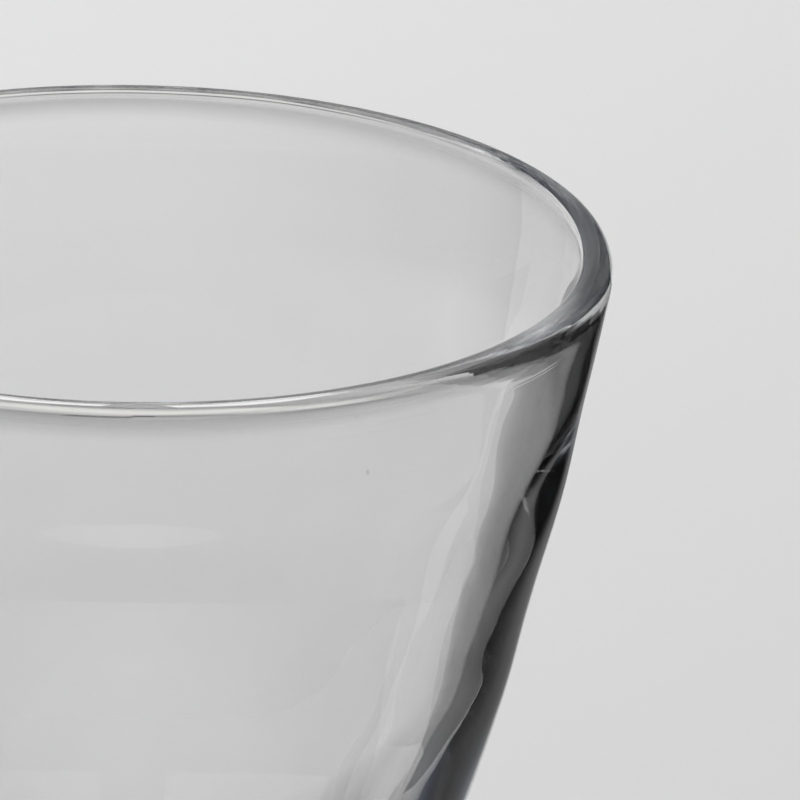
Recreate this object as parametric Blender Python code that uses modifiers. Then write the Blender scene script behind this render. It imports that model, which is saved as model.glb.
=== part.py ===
"""A white wine glass: a blown bowl, a drawn stem and a pressed foot, fused end face to end face.

Each piece is turned about the Z axis from a profile. Sizes are in metres, and the glass stands on Z = 0.
"""

import math

import bpy
from mathutils import Vector

# Bowl
RIM_RADIUS = 0.0398
RIM_TAPER = math.radians(10.1)
BOWL_DEPTH = 0.086
BOWL_FLOOR = 0.008

# Thick lip: its outer and its inner rounding meet at the crest, and each is a leaning quarter ellipse
LIP_OUTER_WIDTH = 0.00178
LIP_OUTER_HEIGHT = 0.00269
LIP_INNER_WIDTH = 0.00112
LIP_INNER_HEIGHT = 0.00081

# Lean of the inside just below the lip
INSIDE_TAPER = math.radians(1.9)

# Fullness of the bowl's curves, as shares of their depth or of the inside's radius at the lip
WALL_UPPER_FULLNESS = 0.378
WALL_LOWER_FULLNESS = 0.200
INSIDE_UPPER_FULLNESS = 0.246
INSIDE_LOWER_FULLNESS = 0.671

# Two soft rings that swell out of the wall: the crest's depth below the rim and its height,
# and how far the swelling reaches above and below the crest
UPPER_RING_DEPTH = 0.0203
UPPER_RING_HEIGHT = 0.00022
UPPER_RING_RISE = 0.0085
UPPER_RING_FALL = 0.0089
LOWER_RING_DEPTH = 0.0390
LOWER_RING_HEIGHT = 0.00024
LOWER_RING_RISE = 0.0088
LOWER_RING_FALL = 0.0275

# Three soft swellings of the inside, which thicken the wall
UPPER_SWELL_DEPTH = 0.0105
UPPER_SWELL_HEIGHT = 0.00034
UPPER_SWELL_RISE = 0.0101
UPPER_SWELL_FALL = 0.0144
MIDDLE_SWELL_DEPTH = 0.0329
MIDDLE_SWELL_HEIGHT = 0.00154
MIDDLE_SWELL_RISE = 0.0248
MIDDLE_SWELL_FALL = 0.0264
LOWER_SWELL_DEPTH = 0.0524
LOWER_SWELL_HEIGHT = 0.00144
LOWER_SWELL_RISE = 0.0185
LOWER_SWELL_FALL = 0.0244

# Fused joint of bowl and stem: its radius, and how far the surface leans from vertical there
BOWL_JOINT_RADIUS = 0.0085
BOWL_JOINT_LEAN = math.radians(65)

# Stem
STEM_LENGTH = 0.072
STEM_WAIST_RADIUS = 0.0045
STEM_WAIST_HEIGHT = 0.030

# Fullness of the stem's flares: across, as a share of the flare, and along, as a share of its length
FLARE_FULLNESS = 0.8
WAIST_FULLNESS = 0.6

# Fused joint of stem and foot
FOOT_JOINT_RADIUS = 0.0080
FOOT_JOINT_LEAN = math.radians(62)

# Foot
FOOT_RADIUS = 0.036
FOOT_HEIGHT = 0.0085
FOOT_EDGE = 0.0026
FOOT_SLOPE = math.radians(4)
STANDING_RING_WIDTH = 0.004
FOOT_HOLLOW = 0.0012

# Fullness of the foot's upper face, as shares of its width
COLLAR_FULLNESS = 0.25
FOOT_FULLNESS = 0.50

# Gap between the end faces at a fused joint
JOINT_GAP = 0.0003

# Facets: sides round the axis, and points along each stretch of a profile
SIDES = 48
WALL_POINTS = 26
LIP_POINTS = 7
INSIDE_POINTS = 26
FLARE_POINTS = 11
FOOT_POINTS = 10
EDGE_POINTS = 4
HOLLOW_POINTS = 5

# Points closer than this to the axis or across the seam are one point
WELD_DISTANCE = 0.0001

# Finish of the clear glass
GLASS_COLOUR = (0.86, 0.88, 0.87, 1.0)
GLASS_ROUGHNESS = 0.02
GLASS_METALLIC = 0.0
GLASS_IOR = 1.5

# Heights of the joint faces and of the rim, from the table up
STEM_BASE_Z = FOOT_HEIGHT + JOINT_GAP
STEM_TOP_Z = STEM_BASE_Z + STEM_LENGTH
BOWL_BASE_Z = STEM_TOP_Z + JOINT_GAP
RIM_Z = BOWL_BASE_Z + BOWL_DEPTH


def point(radius, height):
    """A point of a profile, which lies in the XZ plane."""
    return Vector((radius, 0.0, height))


def curve(start, start_handle, end_handle, end, count):
    """Points of a cubic Bezier curve, both ends included."""
    points = []
    for step in range(count):
        t = step / (count - 1)
        s = 1.0 - t
        first_half = s**3 * start + 3 * s**2 * t * start_handle
        last_half = 3 * s * t**2 * end_handle + t**3 * end
        points.append(first_half + last_half)
    return points


def arc(centre, radius, first_angle, last_angle, count):
    """Points of a circular arc, both ends included."""
    points = []
    for step in range(count):
        angle = first_angle + (last_angle - first_angle) * step / (count - 1)
        points.append(centre + radius * point(math.cos(angle), math.sin(angle)))
    return points


def rounding(start, across, along):
    """Points of a leaning quarter ellipse that sets off along the one way and ends across it."""
    points = []
    for step in range(LIP_POINTS):
        angle = math.pi / 2 * step / (LIP_POINTS - 1)
        points.append(start + (1.0 - math.cos(angle)) * across + math.sin(angle) * along)
    return points


def swelling(depth, crest_depth, height, rise, fall):
    """How far a soft ring stands out of the wall at a depth below the rim."""
    reach = rise if depth < crest_depth else fall
    share = min(abs(depth - crest_depth) / reach, 1.0)
    return height * math.cos(share * math.pi / 2) ** 2


def with_rings(wall_point):
    """A point of the bowl's outer wall, moved out by the two soft rings."""
    depth = RIM_Z - wall_point.z
    upper = swelling(depth, UPPER_RING_DEPTH, UPPER_RING_HEIGHT, UPPER_RING_RISE, UPPER_RING_FALL)
    lower = swelling(depth, LOWER_RING_DEPTH, LOWER_RING_HEIGHT, LOWER_RING_RISE, LOWER_RING_FALL)
    return wall_point + point(upper + lower, 0.0)


def with_swells(inside_point):
    """A point of the bowl's inside, moved in by the three soft swellings."""
    depth = RIM_Z - inside_point.z
    upper = swelling(depth, UPPER_SWELL_DEPTH, UPPER_SWELL_HEIGHT, UPPER_SWELL_RISE, UPPER_SWELL_FALL)
    middle = swelling(depth, MIDDLE_SWELL_DEPTH, MIDDLE_SWELL_HEIGHT, MIDDLE_SWELL_RISE, MIDDLE_SWELL_FALL)
    lower = swelling(depth, LOWER_SWELL_DEPTH, LOWER_SWELL_HEIGHT, LOWER_SWELL_RISE, LOWER_SWELL_FALL)
    return inside_point - point(upper + middle + lower, 0.0)


def down(lean):
    """The way down a surface that leans in from vertical."""
    return point(-math.sin(lean), -math.cos(lean))


def bowl_profile():
    """From the middle of the bowl's floor up its inside, over the lip and down the outer wall."""
    leaning = point(math.tan(RIM_TAPER), 1.0)
    bulge = math.hypot(LIP_OUTER_HEIGHT * math.tan(RIM_TAPER), LIP_OUTER_WIDTH) - LIP_OUTER_WIDTH
    wall_top = point(RIM_RADIUS - bulge, RIM_Z - LIP_OUTER_HEIGHT)
    outer_lip = rounding(wall_top, point(-LIP_OUTER_WIDTH, 0.0), LIP_OUTER_HEIGHT * leaning)
    inner_lip = rounding(outer_lip[-1], -LIP_INNER_HEIGHT * leaning, point(-LIP_INNER_WIDTH, 0.0))

    floor_middle = point(0.0, BOWL_BASE_Z + BOWL_FLOOR)
    inside_top = inner_lip[-1]
    inside_depth = inside_top.z - floor_middle.z
    inside = curve(
        floor_middle,
        floor_middle + point(INSIDE_LOWER_FULLNESS * inside_top.x, 0.0),
        inside_top + INSIDE_UPPER_FULLNESS * inside_depth * down(INSIDE_TAPER),
        inside_top,
        INSIDE_POINTS,
    )

    base_edge = point(BOWL_JOINT_RADIUS, BOWL_BASE_Z)
    wall_depth = wall_top.z - base_edge.z
    wall = curve(
        wall_top,
        wall_top + WALL_UPPER_FULLNESS * wall_depth * down(RIM_TAPER),
        base_edge - WALL_LOWER_FULLNESS * wall_depth * down(BOWL_JOINT_LEAN),
        base_edge,
        WALL_POINTS,
    )
    swelled_inside = [with_swells(inside_point) for inside_point in inside]
    ringed_wall = [with_rings(wall_point) for wall_point in wall]
    lip = inner_lip[-2::-1] + outer_lip[-2:0:-1]
    return swelled_inside + lip + ringed_wall + [point(0.0, BOWL_BASE_Z)]


def flare(end_radius, end_z, end_lean, waist_z):
    """Points from a flared end of the stem to its waist."""
    towards_waist = math.copysign(1.0, waist_z - end_z)
    across = FLARE_FULLNESS * (end_radius - STEM_WAIST_RADIUS)
    along = towards_waist * across / math.tan(end_lean)
    return curve(
        point(end_radius, end_z),
        point(end_radius - across, end_z + along),
        point(STEM_WAIST_RADIUS, waist_z + WAIST_FULLNESS * (end_z - waist_z)),
        point(STEM_WAIST_RADIUS, waist_z),
        FLARE_POINTS,
    )


def stem_profile():
    """From the middle of the stem's top face down its side to the middle of its lower face."""
    waist_z = STEM_BASE_Z + STEM_WAIST_HEIGHT
    upper = flare(BOWL_JOINT_RADIUS, STEM_TOP_Z, BOWL_JOINT_LEAN, waist_z)
    lower = flare(FOOT_JOINT_RADIUS, STEM_BASE_Z, FOOT_JOINT_LEAN, waist_z)
    side = upper + lower[-2::-1]
    return [point(0.0, STEM_TOP_Z)] + side + [point(0.0, STEM_BASE_Z)]


def foot_profile():
    """From the middle of the collar's top face out to the edge and back along the hollow underside."""
    edge_round = FOOT_EDGE / 2
    edge_centre = point(FOOT_RADIUS - edge_round, edge_round)
    upper_edge = arc(edge_centre, edge_round, math.pi / 2 - FOOT_SLOPE, 0.0, EDGE_POINTS)
    lower_edge = arc(edge_centre, edge_round, 0.0, -math.pi / 2, EDGE_POINTS)

    collar_edge = point(FOOT_JOINT_RADIUS, FOOT_HEIGHT)
    width = upper_edge[0].x - collar_edge.x
    down_collar = point(1.0, -1.0 / math.tan(FOOT_JOINT_LEAN))
    up_face = point(-1.0, math.tan(FOOT_SLOPE))
    face = curve(
        collar_edge,
        collar_edge + COLLAR_FULLNESS * width * down_collar,
        upper_edge[0] + FOOT_FULLNESS * width * up_face,
        upper_edge[0],
        FOOT_POINTS,
    )

    hollow_radius = edge_centre.x - STANDING_RING_WIDTH
    hollow = []
    for step in range(HOLLOW_POINTS):
        share = 1.0 - step / (HOLLOW_POINTS - 1)
        hollow.append(point(share * hollow_radius, FOOT_HOLLOW * (1.0 - share**2)))
    edge = upper_edge[1:] + lower_edge[1:]
    return [point(0.0, FOOT_HEIGHT)] + face + edge + hollow


def clear_glass(name):
    """A clear glass material."""
    material = bpy.data.materials.new(name)
    material.use_nodes = True
    shader = material.node_tree.nodes["Principled BSDF"]
    shader.inputs["Base Color"].default_value = GLASS_COLOUR
    shader.inputs["Roughness"].default_value = GLASS_ROUGHNESS
    shader.inputs["Metallic"].default_value = GLASS_METALLIC
    shader.inputs["IOR"].default_value = GLASS_IOR
    shader.inputs["Transmission Weight"].default_value = 1.0
    return material


def turned(name, profile, collection):
    """An object turned from a profile that runs down its outer side."""
    mesh = bpy.data.meshes.new(name)
    edges = [(index, index + 1) for index in range(len(profile) - 1)]
    mesh.from_pydata(profile, edges, [])
    mesh.materials.append(clear_glass(name + "_glass"))
    piece = bpy.data.objects.new(name, mesh)
    collection.objects.link(piece)
    screw = piece.modifiers.new("Turning", "SCREW")
    screw.axis = "Z"
    screw.angle = 2 * math.pi
    screw.steps = SIDES
    screw.render_steps = SIDES
    screw.use_smooth_shade = True
    screw.use_merge_vertices = True
    screw.merge_threshold = WELD_DISTANCE
    return piece


def main():
    for old_object in list(bpy.data.objects):
        bpy.data.objects.remove(old_object)
    glass = bpy.data.collections.new("white_wine_glass")
    bpy.context.scene.collection.children.link(glass)
    turned("bowl", bowl_profile(), glass)
    turned("stem", stem_profile(), glass)
    turned("foot", foot_profile(), glass)


main()
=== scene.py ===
"""A clear white wine glass on a pale floor: bowl, stem and foot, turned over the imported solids."""

import math

import bpy
from mathutils import Matrix, Vector


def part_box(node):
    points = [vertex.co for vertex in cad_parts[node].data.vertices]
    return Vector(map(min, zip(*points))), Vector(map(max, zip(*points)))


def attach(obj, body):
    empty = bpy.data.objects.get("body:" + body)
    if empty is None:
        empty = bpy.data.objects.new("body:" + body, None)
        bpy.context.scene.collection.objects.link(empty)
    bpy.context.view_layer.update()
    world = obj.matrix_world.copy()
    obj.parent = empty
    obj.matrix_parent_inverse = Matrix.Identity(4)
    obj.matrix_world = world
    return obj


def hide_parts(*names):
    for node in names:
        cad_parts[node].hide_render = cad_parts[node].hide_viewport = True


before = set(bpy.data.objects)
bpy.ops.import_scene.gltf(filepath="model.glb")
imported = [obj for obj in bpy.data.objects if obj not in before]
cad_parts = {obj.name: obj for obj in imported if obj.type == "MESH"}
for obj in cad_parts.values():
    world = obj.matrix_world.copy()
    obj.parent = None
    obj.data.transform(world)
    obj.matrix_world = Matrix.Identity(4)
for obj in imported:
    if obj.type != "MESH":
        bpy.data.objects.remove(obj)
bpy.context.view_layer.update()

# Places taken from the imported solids
BOWL_LOW, BOWL_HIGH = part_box("bowl")
STEM_LOW, STEM_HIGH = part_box("stem")
FOOT_LOW, FOOT_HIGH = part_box("foot")
RIM_Z = BOWL_HIGH.z
RIM_RADIUS = BOWL_HIGH.x
UPPER_JOINT_Z = (BOWL_LOW.z + STEM_HIGH.z) / 2
LOWER_JOINT_Z = (STEM_LOW.z + FOOT_HIGH.z) / 2
UPPER_JOINT_RADIUS = STEM_HIGH.x
FOOT_RADIUS = FOOT_HIGH.x

# Half the hair's breadth left between two fused faces, so that they never coincide
HAIR = 0.00001

# Bowl
TAPER = math.radians(10.1)
BOWL_FLOOR = 0.008
LIP_OUTER_WIDTH = 0.00178
LIP_OUTER_HEIGHT = 0.00269
LIP_INNER_WIDTH = 0.00112
LIP_INNER_HEIGHT = 0.00081
INSIDE_TAPER = math.radians(1.9)
WALL_UPPER_FULLNESS = 0.378
WALL_LOWER_FULLNESS = 0.200
INSIDE_UPPER_FULLNESS = 0.246
INSIDE_LOWER_FULLNESS = 0.671
UPPER_JOINT_LEAN = math.radians(65)

# Soft rings outside and swellings inside: crest depth, crest height, reach above and below the crest
UPPER_RING = (0.0203, 0.00022, 0.0085, 0.0089)
LOWER_RING = (0.0390, 0.00024, 0.0088, 0.0275)
UPPER_SWELL = (0.0105, 0.00034, 0.0101, 0.0144)
MIDDLE_SWELL = (0.0329, 0.00154, 0.0248, 0.0264)
LOWER_SWELL = (0.0524, 0.00144, 0.0185, 0.0244)

# Stem
STEM_WAIST_RADIUS = 0.0045
STEM_WAIST_HEIGHT = 0.030
FLARE_FULLNESS = 0.8
WAIST_FULLNESS = 0.6

# Foot
LOWER_JOINT_RADIUS = 0.0080
LOWER_JOINT_LEAN = math.radians(62)
FOOT_EDGE = 0.0026
FOOT_SLOPE = math.radians(4)
STANDING_RING_WIDTH = 0.004
FOOT_HOLLOW = 0.0012
COLLAR_FULLNESS = 0.25
FOOT_FULLNESS = 0.50

# Fineness: steps round the axis, and points along each stretch of a profile
SIDES = 192
WALL_POINTS = 120
INSIDE_POINTS = 120
LIP_POINTS = 18
FLARE_POINTS = 40
FACE_POINTS = 40
EDGE_POINTS = 12
HOLLOW_POINTS = 12

# Glass
GLASS_IOR = 1.5
TAKEN_COLOUR = (0.235, 0.24, 0.25, 1.0)
TAKEN_PER_METRE = 2.0
CLEARNESS = 0.94
CLOUD_SCALE = 45.0
CLOUD_DETAIL = 2.0
CLOUD_STRENGTH = 0.02
SPECK_SCALE = 75.0
SPECK_SIZE = 0.018
SPECK_STRENGTH = 0.30

# Painted shade under the lip: depths below the rim at which it sets in, is full and has gone
LIP_SHADE_SETS_IN = 0.0006
LIP_SHADE_FULL = 0.0010
LIP_SHADE_GONE = 0.0031
LIP_SHADE_STRENGTH = 0.30

# Fire polish: fine lines round the lip, with their height and the depths between which they set in
STREAKS_PER_METRE = 2500.0
STREAKS_PER_TURN = 2.0
STREAK_HEIGHT = 0.000014
STREAKS_GONE = 0.0045
STREAKS_FULL = 0.0015

# Studio floor, a hair below the foot, and the flat cards lying on it
FLOOR_DROP = 0.0001
FLOOR_RADIUS = 3.5
FLOOR_RINGS = 14
COVE_RADIUS = 1.0
COVE_POINTS = 16
WALL_TOP = 3.0
FLOOR_SIDES = 64
FLOOR_ROUGHNESS = 0.9
FLAT = 0.0006
CARD_STEPS = 48

# Floor's painted light and shade, each as the place where it starts and ends and its share of white there:
# painted shade darker to the front and to the right, painted shade round the foot and painted light under it
FLOOR_SHADE_FRONT_TO_BACK = (-0.2, 0.8, 0.625, 0.97)
FLOOR_SHADE_LEFT_TO_RIGHT = (-0.35, 0.45, 1.16, 0.84)
SHADE_ROUND_FOOT = (0.06, 0.22, 0.62, 1.0)
LIGHT_UNDER_FOOT = (0.034, 0.040, 1.5, 1.0)

# Upright dark card at the right: its plane, its outline as distance back and height, and its light
CARD_PLACE = 0.0886
CARD_SLANT = 0.0019
CARD_MIDDLE = 0.28
CARD_OUTLINE = (
    (0.0, 0.055), (0.04, 0.048), (0.058, 0.036), (0.066, 0.016), (0.085, 0.010), (0.14, 0.006),
    (0.165, 0.0), (0.40, 0.0), (0.30, 0.046), (0.20, 0.090), (0.16, 0.108), (0.125, 0.126),
    (0.115, 0.14), (0.30, 0.26), (0.16, 0.235), (0.05, 0.20), (-0.07, 0.20), (-0.07, 0.148),
    (0.0, 0.142), (-0.006, 0.130), (-0.006, 0.110), (0.0, 0.104),
)
CARD_FAR_LIGHT = 0.34
CARD_FAR_START = 0.105
CARD_FAR_END = 0.213
CARD_HALVING = 0.0146
CARD_NEAR_LIGHT = 0.19
CARD_NEAR_FOOT = 0.067
CARD_NEAR_TOP = 0.092
CARD_NEAR_START = -0.04
CARD_NEAR_END = 0.019
CARD_DARK = 0.004
CARD_END = -0.07
CARD_END_FADE = 0.03

# Rings of light on the floor behind the glass, as distance from the axis and light
RINGS = (
    (0.037, 0.45), (0.045, 0.45), (0.06, 0.92), (0.07, 0.90), (0.078, 0.95), (0.085, 1.0), (0.09, 1.0),
    (0.12, 0.92), (0.13, 0.87), (0.14, 0.68), (0.15, 0.42), (0.16, 0.37), (0.17, 0.52), (0.185, 0.66),
    (0.21, 0.68), (0.25, 0.69),
)
RINGS_FIRST = -46
RINGS_LAST = 30
RINGS_FADE_LEFT = 30
RINGS_FADE_RIGHT = 12
RINGS_WIDEN_FROM = 5
RINGS_WIDEN_TO = 25
RINGS_WIDENED = 0.86
CREAM = (1.0, 0.99, 0.955)
CREAM_FROM = 0.7
GREY = (1.0, 1.0, 1.0)

# Soft shade on the floor at the right, and how far its edges fade
SHADE_INNER = 0.36
SHADE_OUTER = 1.2
SHADE_LAST = 30
SHADE_NEAR_FADE = 0.12
SHADE_FAR_FADE = 0.2
SHADE_SIDE_FADE = 6

# Wide panel round the studio, dark and cool between its pale foot and its bright top at the back
SKY_RADIUS = 2.2
SKY_FOOT = 0.40
SKY_TOP = 1.8
SKY_COOL = (0.042, 0.052, 0.078)
SKY_FOOT_LIGHT = 0.40
SKY_FOOT_START = 0.40
SKY_FOOT_END = 0.70
SKY_TOP_LIGHT = 1.35
SKY_TOP_START = 1.07
SKY_TOP_END = 1.39
SKY_LEFT_END = -45
SKY_LEFT_START = -20
SKY_RIGHT_START = 70
SKY_RIGHT_END = 95

# Light, with its size and place in metres and its power in watts
SOFTBOX_SIZE = 3.2
SOFTBOX_POWER = 38
SOFTBOX_PLACE = (0.0, 0.2, 1.7)
ROOM_COLOUR = (0.15, 0.15, 0.15, 1.0)

# Bounces that light needs inside thick glass
GLASS_BOUNCES = 128
ALL_BOUNCES = 160
CLEAR_BOUNCES = 64

# Camera, from the photograph's frame
CAMERA_DISTANCE = 0.610
CAMERA_ELEVATION = math.radians(20.0284)
CAMERA_PITCH = math.radians(21.2706)
CAMERA_YAW = math.radians(2.240)
CAMERA_ROLL = math.radians(1.6481)
SENSOR_WIDTH = 36.0
FOCAL_PIXELS = 7330.57
FRAME_PIXELS = 800
NEAREST_SEEN = 0.01
FARTHEST_SEEN = 50


class Wire:
    """One output of a node, so that a formula of wires becomes nodes."""

    def __init__(self, socket):
        self.socket = socket

    def node(self, kind, inputs, output=0, stops=(), **settings):
        """The output of any other node, given its inputs, a ramp's stops and its settings."""
        tree = self.socket.id_data
        made = tree.nodes.new("ShaderNode" + kind)
        for name, value in settings.items():
            setattr(made, name, value)
        for place, colour in stops[1:-1]:
            made.color_ramp.elements.new(place).color = colour
        if stops:
            made.color_ramp.elements[0].color = stops[0][1]
            made.color_ramp.elements[-1].color = stops[-1][1]
        for key, value in inputs.items():
            if isinstance(value, Wire):
                tree.links.new(value.socket, made.inputs[key])
            else:
                made.inputs[key].default_value = value
        return Wire(made.outputs[output])

    def maths(self, operation, first, second):
        return self.node("Math", {0: first, 1: second}, operation=operation)

    def __add__(self, other):
        return self.maths("ADD", self, other)

    def __sub__(self, other):
        return self.maths("SUBTRACT", self, other)

    def __rsub__(self, other):
        return self.maths("SUBTRACT", other, self)

    def __mul__(self, other):
        return self.maths("MULTIPLY", self, other)

    def __rmul__(self, other):
        return self.maths("MULTIPLY", other, self)

    def __truediv__(self, other):
        return self.maths("DIVIDE", self, other)


def point(radius, height):
    """A point of a profile, which lies in the XZ plane."""
    return Vector((radius, 0.0, height))


def curve(start, start_handle, end_handle, end, count):
    """Points of a cubic Bezier curve, both ends included."""
    points = []
    for step in range(count):
        t = step / (count - 1)
        s = 1.0 - t
        first_half = s**3 * start + 3 * s**2 * t * start_handle
        last_half = 3 * s * t**2 * end_handle + t**3 * end
        points.append(first_half + last_half)
    return points


def arc(centre, radius, first_angle, last_angle, count):
    """Points of a circular arc, both ends included."""
    points = []
    for step in range(count):
        angle = first_angle + (last_angle - first_angle) * step / (count - 1)
        points.append(centre + radius * point(math.cos(angle), math.sin(angle)))
    return points


def swelling(depth, crest_depth, height, rise, fall):
    """How far a soft ring stands out of the wall at a depth below the rim."""
    reach = rise if depth < crest_depth else fall
    share = min(abs(depth - crest_depth) / reach, 1.0)
    return height * math.cos(share * math.pi / 2) ** 2


def swelled(surface_point, side, *rings):
    """A point of the bowl's surface moved out or in by soft rings."""
    depth = RIM_Z - surface_point.z
    return surface_point + point(side * sum(swelling(depth, *ring) for ring in rings), 0.0)


def rounding(start, across, along):
    """Points of a leaning quarter ellipse that sets off along the one way and ends across it."""
    points = []
    for step in range(LIP_POINTS):
        angle = math.pi / 2 * step / (LIP_POINTS - 1)
        points.append(start + (1.0 - math.cos(angle)) * across + math.sin(angle) * along)
    return points


def down(lean):
    """The way down a surface that leans in from vertical."""
    return point(-math.sin(lean), -math.cos(lean))


def bowl_profile():
    """From the middle of the bowl's floor up its inside, over the lip and down the outer wall."""
    leaning = point(math.tan(TAPER), 1.0)
    bulge = math.hypot(LIP_OUTER_HEIGHT * math.tan(TAPER), LIP_OUTER_WIDTH) - LIP_OUTER_WIDTH
    wall_top = point(RIM_RADIUS - bulge, RIM_Z - LIP_OUTER_HEIGHT)
    outer_lip = rounding(wall_top, point(-LIP_OUTER_WIDTH, 0.0), LIP_OUTER_HEIGHT * leaning)
    inner_lip = rounding(outer_lip[-1], -LIP_INNER_HEIGHT * leaning, point(-LIP_INNER_WIDTH, 0.0))

    floor_middle = point(0.0, BOWL_LOW.z + BOWL_FLOOR)
    inside_top = inner_lip[-1]
    inside_depth = inside_top.z - floor_middle.z
    inside = curve(
        floor_middle,
        floor_middle + point(INSIDE_LOWER_FULLNESS * inside_top.x, 0.0),
        inside_top + INSIDE_UPPER_FULLNESS * inside_depth * down(INSIDE_TAPER),
        inside_top,
        INSIDE_POINTS,
    )

    base_edge = point(UPPER_JOINT_RADIUS, UPPER_JOINT_Z + HAIR)
    wall_depth = wall_top.z - BOWL_LOW.z
    wall = curve(
        wall_top,
        wall_top + WALL_UPPER_FULLNESS * wall_depth * down(TAPER),
        base_edge - WALL_LOWER_FULLNESS * wall_depth * down(UPPER_JOINT_LEAN),
        base_edge,
        WALL_POINTS,
    )
    swelled_inside = [swelled(place, -1, UPPER_SWELL, MIDDLE_SWELL, LOWER_SWELL) for place in inside]
    ringed_wall = [swelled(place, 1, UPPER_RING, LOWER_RING) for place in wall]
    lip = inner_lip[-2::-1] + outer_lip[-2:0:-1]
    return swelled_inside + lip + ringed_wall + [point(0.0, base_edge.z)]


def flare(end_radius, end_z, end_lean, waist_z):
    """Points from a flared end of the stem to its waist."""
    towards_waist = math.copysign(1.0, waist_z - end_z)
    across = FLARE_FULLNESS * (end_radius - STEM_WAIST_RADIUS)
    along = towards_waist * across / math.tan(end_lean)
    return curve(
        point(end_radius, end_z),
        point(end_radius - across, end_z + along),
        point(STEM_WAIST_RADIUS, waist_z + WAIST_FULLNESS * (end_z - waist_z)),
        point(STEM_WAIST_RADIUS, waist_z),
        FLARE_POINTS,
    )


def stem_profile():
    """From the middle of the stem's top face down its side to the middle of its lower face."""
    waist_z = STEM_LOW.z + STEM_WAIST_HEIGHT
    upper = flare(UPPER_JOINT_RADIUS, UPPER_JOINT_Z - HAIR, UPPER_JOINT_LEAN, waist_z)
    lower = flare(LOWER_JOINT_RADIUS, LOWER_JOINT_Z + HAIR, LOWER_JOINT_LEAN, waist_z)
    side = upper + lower[-2::-1]
    return [point(0.0, side[0].z)] + side + [point(0.0, side[-1].z)]


def foot_profile():
    """From the middle of the collar's top face out to the edge and back along the hollow underside."""
    edge_round = FOOT_EDGE / 2
    edge_centre = point(FOOT_RADIUS - edge_round, FOOT_LOW.z + edge_round)
    upper_edge = arc(edge_centre, edge_round, math.pi / 2 - FOOT_SLOPE, 0.0, EDGE_POINTS)
    lower_edge = arc(edge_centre, edge_round, 0.0, -math.pi / 2, EDGE_POINTS)

    collar_edge = point(LOWER_JOINT_RADIUS, LOWER_JOINT_Z - HAIR)
    width = upper_edge[0].x - collar_edge.x
    down_collar = point(1.0, -1.0 / math.tan(LOWER_JOINT_LEAN))
    up_face = point(-1.0, math.tan(FOOT_SLOPE))
    face = curve(
        collar_edge,
        collar_edge + COLLAR_FULLNESS * width * down_collar,
        upper_edge[0] + FOOT_FULLNESS * width * up_face,
        upper_edge[0],
        FACE_POINTS,
    )

    hollow_radius = edge_centre.x - STANDING_RING_WIDTH
    hollow = []
    for step in range(HOLLOW_POINTS):
        share = 1.0 - step / (HOLLOW_POINTS - 1)
        hollow.append(point(share * hollow_radius, FOOT_LOW.z + FOOT_HOLLOW * (1.0 - share**2)))
    edge = upper_edge[1:] + lower_edge[1:]
    return [point(0.0, collar_edge.z)] + face + edge + hollow


def drawn(name, places):
    """A vertex drawn along a row of places by extrusion."""
    bpy.ops.object.select_all(action="DESELECT")
    bpy.ops.mesh.primitive_plane_add(size=0.001, location=(0, 0, 0))
    made = bpy.context.active_object
    made.name = name
    made.data.name = name
    bpy.ops.object.mode_set(mode="EDIT")
    bpy.ops.mesh.select_all(action="SELECT")
    bpy.ops.mesh.merge(type="CENTER")
    bpy.ops.transform.translate(value=places[0])
    for here, there in zip(places, places[1:]):
        bpy.ops.mesh.extrude_vertices_move(TRANSFORM_OT_translate={"value": there - here})
    bpy.ops.object.mode_set(mode="OBJECT")
    return made


def spun(name, profile, steps=SIDES, first=0.0, turn=2 * math.pi):
    """A profile drawn at a heading, then spun clockwise about the Z axis."""
    heading = Matrix.Rotation(first, 3, "Z")
    made = drawn(name, [heading @ profile_point for profile_point in profile])
    bpy.ops.object.mode_set(mode="EDIT")
    bpy.ops.mesh.select_all(action="SELECT")
    bpy.ops.mesh.spin(steps=steps, angle=turn, center=(0, 0, 0), axis=(0, 0, 1))
    bpy.ops.mesh.select_all(action="SELECT")
    bpy.ops.mesh.remove_doubles(threshold=0.000001)
    bpy.ops.mesh.normals_make_consistent(inside=False)
    bpy.ops.object.mode_set(mode="OBJECT")
    bpy.ops.object.shade_smooth()
    return made


def new_material(name):
    """A material with its shader and a wire of the object's coordinates."""
    material = bpy.data.materials.new(name)
    material.use_nodes = True
    nodes = material.node_tree.nodes
    place = Wire(nodes.new("ShaderNodeTexCoord").outputs["Object"])
    return material, nodes["Principled BSDF"], place


def feed(wire, socket):
    socket.id_data.links.new(wire.socket, socket)


def coordinate(place, axis):
    """One coordinate of a place: X across, Y back, Z up."""
    return place.node("SeparateXYZ", {0: place}, axis)


def bearing_of(place):
    """The bearing of a place, clockwise from the back."""
    return place.maths("ARCTAN2", coordinate(place, "X"), coordinate(place, "Y"))


def distance_of(place):
    """How far a place lies from the axis of the glass."""
    flat = place.node("CombineXYZ", {0: coordinate(place, "X"), 1: coordinate(place, "Y")})
    return place.node("VectorMath", {0: flat}, "Value", operation="LENGTH")


def ramp(wire, low, high, low_light=0.0, high_light=1.0, kind="SMOOTHSTEP"):
    """A wire mapped from one range to another, and held outside it."""
    limits = {0: wire, 1: low, 2: high, 3: low_light, 4: high_light}
    return wire.node("MapRange", limits, interpolation_type=kind)


def bearing_ramp(place, first, last, first_light=0.0, last_light=1.0, kind="SMOOTHSTEP"):
    """A ramp from one bearing to another, in degrees clockwise from the back."""
    start, end = math.radians(first), math.radians(last)
    return ramp(bearing_of(place), start, end, first_light, last_light, kind)


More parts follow.
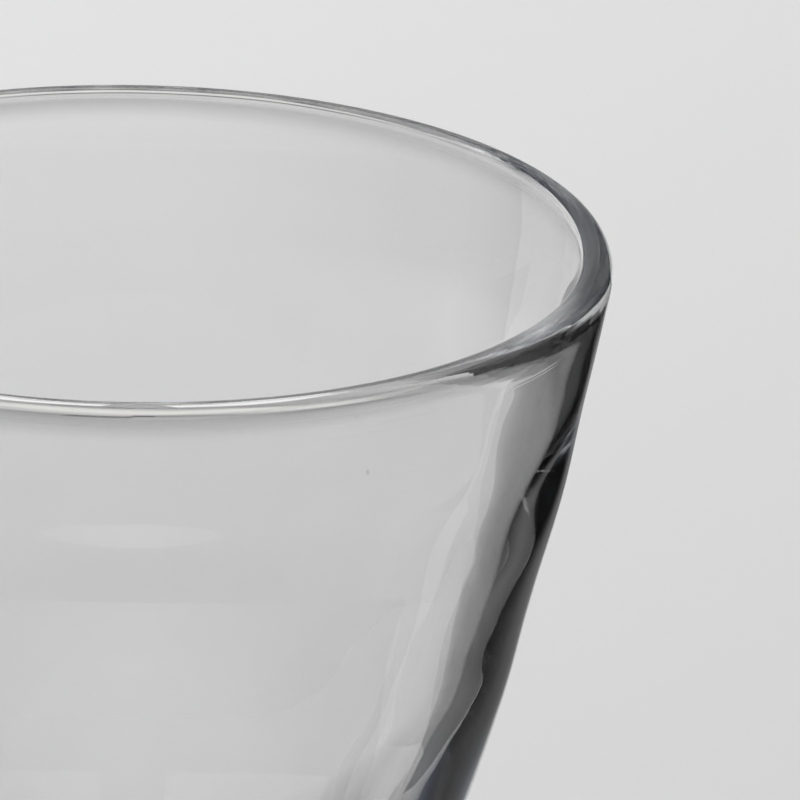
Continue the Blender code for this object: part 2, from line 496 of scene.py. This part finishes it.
def rim_streaks(place):
    """Fine lines of the fire polish that run round the lip."""
    height = coordinate(place, "Z")
    radius = STREAKS_PER_METRE * distance_of(place)
    turn = STREAKS_PER_TURN * bearing_of(place)
    along = place.node("CombineXYZ", {0: radius, 1: turn, 2: STREAKS_PER_METRE * height})
    lines = place.node("TexNoise", {"Vector": along, "Scale": 1.0, "Detail": 1.0})
    lip = ramp(height, RIM_Z - STREAKS_GONE, RIM_Z - STREAKS_FULL, kind="LINEAR")
    return place.node("Bump", {"Height": lines * lip, "Strength": 1.0, "Distance": STREAK_HEIGHT})


def clear_glass(name):
    """Clear glass with painted shade in a band under the lip, whose fused faces let everything through."""
    material, shader, place = new_material(name)
    height = coordinate(place, "Z")
    upper = place.node("Math", {0: height, 1: UPPER_JOINT_Z, 2: 2 * HAIR}, operation="COMPARE")
    lower = place.node("Math", {0: height, 1: LOWER_JOINT_Z, 2: 2 * HAIR}, operation="COMPARE")
    feed(1.0 - upper - lower, shader.inputs["Alpha"])
    specks = place.node("TexVoronoi", {"Vector": place, "Scale": SPECK_SCALE})
    cloud = place.node("TexNoise", {"Vector": place, "Scale": CLOUD_SCALE, "Detail": CLOUD_DETAIL})
    speck = specks.maths("LESS_THAN", specks, SPECK_SIZE)
    dimmed = CLOUD_STRENGTH * cloud + SPECK_STRENGTH * speck
    # Painted shade: the glass is darkened in a band just under the lip
    lip_shade_below = ramp(height, RIM_Z - LIP_SHADE_GONE, RIM_Z - LIP_SHADE_FULL)
    lip_shade_above = ramp(height, RIM_Z - LIP_SHADE_SETS_IN, RIM_Z - LIP_SHADE_FULL)
    clear = 1.0 - LIP_SHADE_STRENGTH * lip_shade_below * lip_shade_above
    feed((CLEARNESS - dimmed) * clear, shader.inputs["Base Color"])
    feed(rim_streaks(place), shader.inputs["Normal"])
    shader.inputs["Roughness"].default_value = 0.0
    shader.inputs["IOR"].default_value = GLASS_IOR
    shader.inputs["Transmission Weight"].default_value = 1.0
    taken = {"Color": TAKEN_COLOUR, "Density": TAKEN_PER_METRE}
    output = material.node_tree.nodes["Material Output"]
    feed(place.node("VolumeAbsorption", taken), output.inputs["Volume"])
    return material


def dress(piece, material, node):
    """Give a piece its material and tell the frame what it stands for."""
    piece.data.materials.append(material)
    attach(piece, "root")
    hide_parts(node)


def pale_floor():
    """A round floor that sweeps up to a wall, with painted light and shade: a little brighter to the back
    and to the left, painted shade round the foot and painted light under it.
    """
    ground = [point(FLOOR_RADIUS * step / FLOOR_RINGS, 0.0) for step in range(FLOOR_RINGS)]
    cove = arc(point(FLOOR_RADIUS, COVE_RADIUS), COVE_RADIUS, -math.pi / 2, 0.0, COVE_POINTS)
    wall_top = point(FLOOR_RADIUS + COVE_RADIUS, WALL_TOP)
    floor = spun("floor", ground + cove + [wall_top], FLOOR_SIDES)
    floor.data.flip_normals()
    floor.location.z = -FLOOR_DROP
    material, shader, place = new_material("pale_floor")
    # Painted shade: the floor is darker to the front and to the right
    painted_shade_front = ramp(coordinate(place, "Y"), *FLOOR_SHADE_FRONT_TO_BACK, "LINEAR")
    painted_shade_right = ramp(coordinate(place, "X"), *FLOOR_SHADE_LEFT_TO_RIGHT, "LINEAR")
    distance = distance_of(place)
    # Painted shadow round the foot, and painted light on the floor under it
    painted_shade_round_foot = ramp(distance, *SHADE_ROUND_FOOT)
    painted_light_under_foot = ramp(distance, *LIGHT_UNDER_FOOT, "LINEAR")
    feed(painted_shade_front * painted_shade_right * painted_shade_round_foot * painted_light_under_foot, shader.inputs["Base Color"])
    shader.inputs["Roughness"].default_value = FLOOR_ROUGHNESS
    shader.inputs["Specular IOR Level"].default_value = 0.0
    floor.data.materials.append(material)


def glowing(made, light, cover=None, glossy=True, transmission=True):
    """Give a card its light and cover, and keep it out of the picture except in the glass."""
    material, shader, place = new_material(made.name)
    if callable(light):
        feed(light(place), shader.inputs["Emission Color"])
    else:
        shader.inputs["Emission Color"].default_value = (light, light, light, 1.0)
    if cover:
        feed(cover(place), shader.inputs["Alpha"])
    shader.inputs["Emission Strength"].default_value = 1.0
    shader.inputs["Base Color"].default_value = (0.0, 0.0, 0.0, 1.0)
    shader.inputs["Specular IOR Level"].default_value = 0.0
    made.data.materials.append(material)
    made.visible_camera = False
    made.visible_diffuse = False
    made.visible_shadow = False
    made.visible_glossy = glossy
    made.visible_transmission = transmission


def round_card(name, low, high, first, last):
    """A strip between two points of a profile, spun from one bearing to another, clockwise from the back."""
    start = math.radians(90 - first)
    return spun(name, [point(*low), point(*high)], CARD_STEPS, start, math.radians(last - first))


def flat_card(name, inner, outer, first, last, lift=FLAT):
    """A strip of the floor between two radii."""
    return round_card(name, (inner, lift), (outer, lift), first, last)


def turning(first, last, first_light, last_light):
    """Light that changes evenly from one bearing to another."""

    def light(place):
        return bearing_ramp(place, first, last, first_light, last_light, "LINEAR")

    return light


def card_light(place):
    """Light at the upright card's foot: some all along it, more towards its far end."""
    back = coordinate(place, "Y")
    height = coordinate(place, "Z")
    far = ramp(back, CARD_FAR_START, CARD_FAR_END, kind="LINEAR")
    far_light = CARD_FAR_LIGHT * far * height.maths("POWER", 0.5, height / CARD_HALVING)
    low = ramp(height, CARD_NEAR_TOP, CARD_NEAR_FOOT)
    near_light = CARD_NEAR_LIGHT * low * ramp(back, CARD_NEAR_START, CARD_NEAR_END)
    return far_light + near_light + CARD_DARK


def card_cover(place):
    """The upright card's end towards the viewer fades out."""
    return ramp(coordinate(place, "Y"), CARD_END, CARD_END + CARD_END_FADE)


def upright_card(name):
    """The upright card, drawn by its outline and filled."""
    outline = []
    for back, height in CARD_OUTLINE:
        outline.append(Vector((CARD_PLACE + CARD_SLANT * (back - CARD_MIDDLE), back, height)))
    made = drawn(name, outline)
    bpy.ops.object.mode_set(mode="EDIT")
    bpy.ops.mesh.select_all(action="SELECT")
    bpy.ops.mesh.edge_face_add()
    bpy.ops.object.mode_set(mode="OBJECT")
    return made


def rings_light(place):
    """Rings of light and shade on the floor, wider towards the right."""
    inner, outer = RINGS[0][0], RINGS[-1][0]
    widened = bearing_ramp(place, RINGS_WIDEN_FROM, RINGS_WIDEN_TO, 1.0, RINGS_WIDENED, "LINEAR")
    stops = []
    for radius, light in RINGS:
        red, green, blue = CREAM if light > CREAM_FROM else GREY
        stops.append(((radius - inner) / (outer - inner), (red * light, green * light, blue * light, 1.0)))
    share = ramp(distance_of(place) * widened, inner, outer, kind="LINEAR")
    return place.node("ValToRGB", {0: share}, stops=stops)


def rings_cover(place):
    """The rings fade out at both ends."""
    left = bearing_ramp(place, RINGS_FIRST, RINGS_FIRST + RINGS_FADE_LEFT)
    right = bearing_ramp(place, RINGS_LAST, RINGS_LAST - RINGS_FADE_RIGHT)
    return left * right


def shade_cover(place):
    """The shade at the right fades out at its left, its near and its far side."""
    distance = distance_of(place)
    near = ramp(distance, SHADE_INNER, SHADE_INNER + SHADE_NEAR_FADE)
    far = ramp(distance, SHADE_OUTER, SHADE_OUTER - SHADE_FAR_FADE)
    left = bearing_ramp(place, 0, SHADE_SIDE_FADE, kind="LINEAR")
    return near * far * left


def sky_light(place):
    """Light of the wide panel: cool and dark, paler at its foot and bright high up at the back."""
    height = coordinate(place, "Z")
    left = bearing_ramp(place, SKY_LEFT_END, SKY_LEFT_START)
    right = bearing_ramp(place, SKY_RIGHT_END, SKY_RIGHT_START)
    foot = ramp(height, SKY_FOOT_END, SKY_FOOT_START, 0.0, SKY_FOOT_LIGHT, "LINEAR")
    top = ramp(height, SKY_TOP_START, SKY_TOP_END, 0.0, SKY_TOP_LIGHT)
    light = foot + top * left * right
    red, green, blue = SKY_COOL
    return place.node("CombineColor", {0: light + red, 1: light + green, 2: light + blue})


def studio_light():
    """The one soft light above the glass, and a faint light from all round."""
    light = bpy.data.lights.new("top_softbox", "AREA")
    light.shape = "DISK"
    light.size = SOFTBOX_SIZE
    light.energy = SOFTBOX_POWER
    made = bpy.data.objects.new("top_softbox", light)
    made.location = SOFTBOX_PLACE
    bpy.context.scene.collection.objects.link(made)
    world = bpy.data.worlds.new("studio")
    world.use_nodes = True
    world.node_tree.nodes["Background"].inputs["Color"].default_value = ROOM_COLOUR
    bpy.context.scene.world = world


def photo_camera():
    """The camera at the photograph's angle."""
    camera = bpy.data.cameras.new("camera")
    camera.sensor_width = SENSOR_WIDTH
    camera.lens = SENSOR_WIDTH * FOCAL_PIXELS / FRAME_PIXELS
    camera.clip_start = NEAREST_SEEN
    camera.clip_end = FARTHEST_SEEN
    made = bpy.data.objects.new("camera", camera)
    bpy.context.scene.collection.objects.link(made)
    behind = CAMERA_DISTANCE * math.cos(CAMERA_ELEVATION)
    above = CAMERA_DISTANCE * math.sin(CAMERA_ELEVATION)
    stand = Matrix.Translation((0.0, -behind, RIM_Z + above))
    yaw = Matrix.Rotation(-CAMERA_YAW, 4, "Z")
    pitch = Matrix.Rotation(math.pi / 2 - CAMERA_PITCH, 4, "X")
    roll = Matrix.Rotation(CAMERA_ROLL, 4, "Z")
    made.matrix_world = stand @ yaw @ pitch @ roll
    bpy.context.scene.camera = made


def picture_settings():
    """Plain tones and enough bounces for light inside thick glass."""
    scene = bpy.context.scene
    scene.view_settings.view_transform = "Standard"
    scene.cycles.transmission_bounces = GLASS_BOUNCES
    scene.cycles.glossy_bounces = GLASS_BOUNCES
    scene.cycles.max_bounces = ALL_BOUNCES
    scene.cycles.transparent_max_bounces = CLEAR_BOUNCES


# The glass
dress(spun("bowl_glass", bowl_profile()), clear_glass("bowl_glass"), "bowl")
dress(spun("stem_glass", stem_profile()), clear_glass("stem_glass"), "stem")
dress(spun("foot_glass", foot_profile()), clear_glass("foot_glass"), "foot")

# The floor, with what the glass sees on it
pale_floor()
rings = flat_card("light_behind", inner=RINGS[0][0], outer=RINGS[-1][0], first=RINGS_FIRST, last=RINGS_LAST)
glowing(rings, rings_light, rings_cover, glossy=False)
shade = flat_card("shade_right", inner=SHADE_INNER, outer=SHADE_OUTER, first=0, last=SHADE_LAST)
shade_light = turning(first=0, last=SHADE_LAST, first_light=0.73, last_light=0.44)
glowing(shade, shade_light, shade_cover, glossy=False)
# Painted shadow: a dark dash on the floor behind the glass, seen only through it
shadow_dash = flat_card("painted_shadow_dash", inner=0.148, outer=0.163, first=-6, last=2, lift=2 * FLAT)
glowing(shadow_dash, light=0.16, glossy=False)
shade_left = flat_card("shade_left", inner=0.185, outer=0.26, first=-48, last=-12, lift=2 * FLAT)
glowing(shade_left, turning(first=-30, last=-12, first_light=0.42, last_light=0.68), glossy=False)
flag = flat_card("flag_left", inner=0.5, outer=1.5, first=-80, last=-54)
glowing(flag, turning(first=-80, last=-54, first_light=0.60, last_light=0.05))
lit_front = flat_card("light_front", inner=0.05, outer=0.112, first=100, last=166)
glowing(lit_front, light=0.95, glossy=False)
lit_front_left = flat_card("light_front_left", inner=0.05, outer=0.112, first=-170, last=-100)
glowing(lit_front_left, light=0.95, glossy=False)
mirrored = flat_card("white_front", inner=0.08, outer=0.20, first=100, last=180)
glowing(mirrored, turning(first=100, last=180, first_light=0.1, last_light=1.5), transmission=False)
mirrored_left = flat_card("white_front_left", inner=0.08, outer=0.20, first=-180, last=-100)
glowing(mirrored_left, turning(first=-180, last=-100, first_light=1.5, last_light=0.1), transmission=False)

# The cards and panels round it
glowing(upright_card("dark_card"), card_light, card_cover)
panel = round_card("front_panel", low=(1.2, 0.62), high=(1.2, 1.0), first=100, last=180)
glowing(panel, turning(first=100, last=180, first_light=2.2, last_light=2.0), transmission=False)
panel_left = round_card("front_panel_left", low=(1.2, 0.62), high=(1.2, 1.0), first=-180, last=-110)
glowing(panel_left, turning(first=-180, last=-110, first_light=1.8, last_light=0.6), transmission=False)
ceiling = round_card("ceiling", low=(0.0001, 1.65), high=(1.75, 1.65), first=-180, last=180)
glowing(ceiling, light=0.4, glossy=False)
sky = round_card("sky_panel", low=(SKY_RADIUS, SKY_FOOT), high=(SKY_RADIUS, SKY_TOP), first=-180, last=180)
glowing(sky, sky_light, glossy=False)
before_sky = SKY_RADIUS - 0.01
back_light = round_card("light_back", low=(before_sky, 0.30), high=(before_sky, 0.68), first=-15, last=4)
glowing(back_light, light=0.95, glossy=False)

studio_light()
photo_camera()
picture_settings()
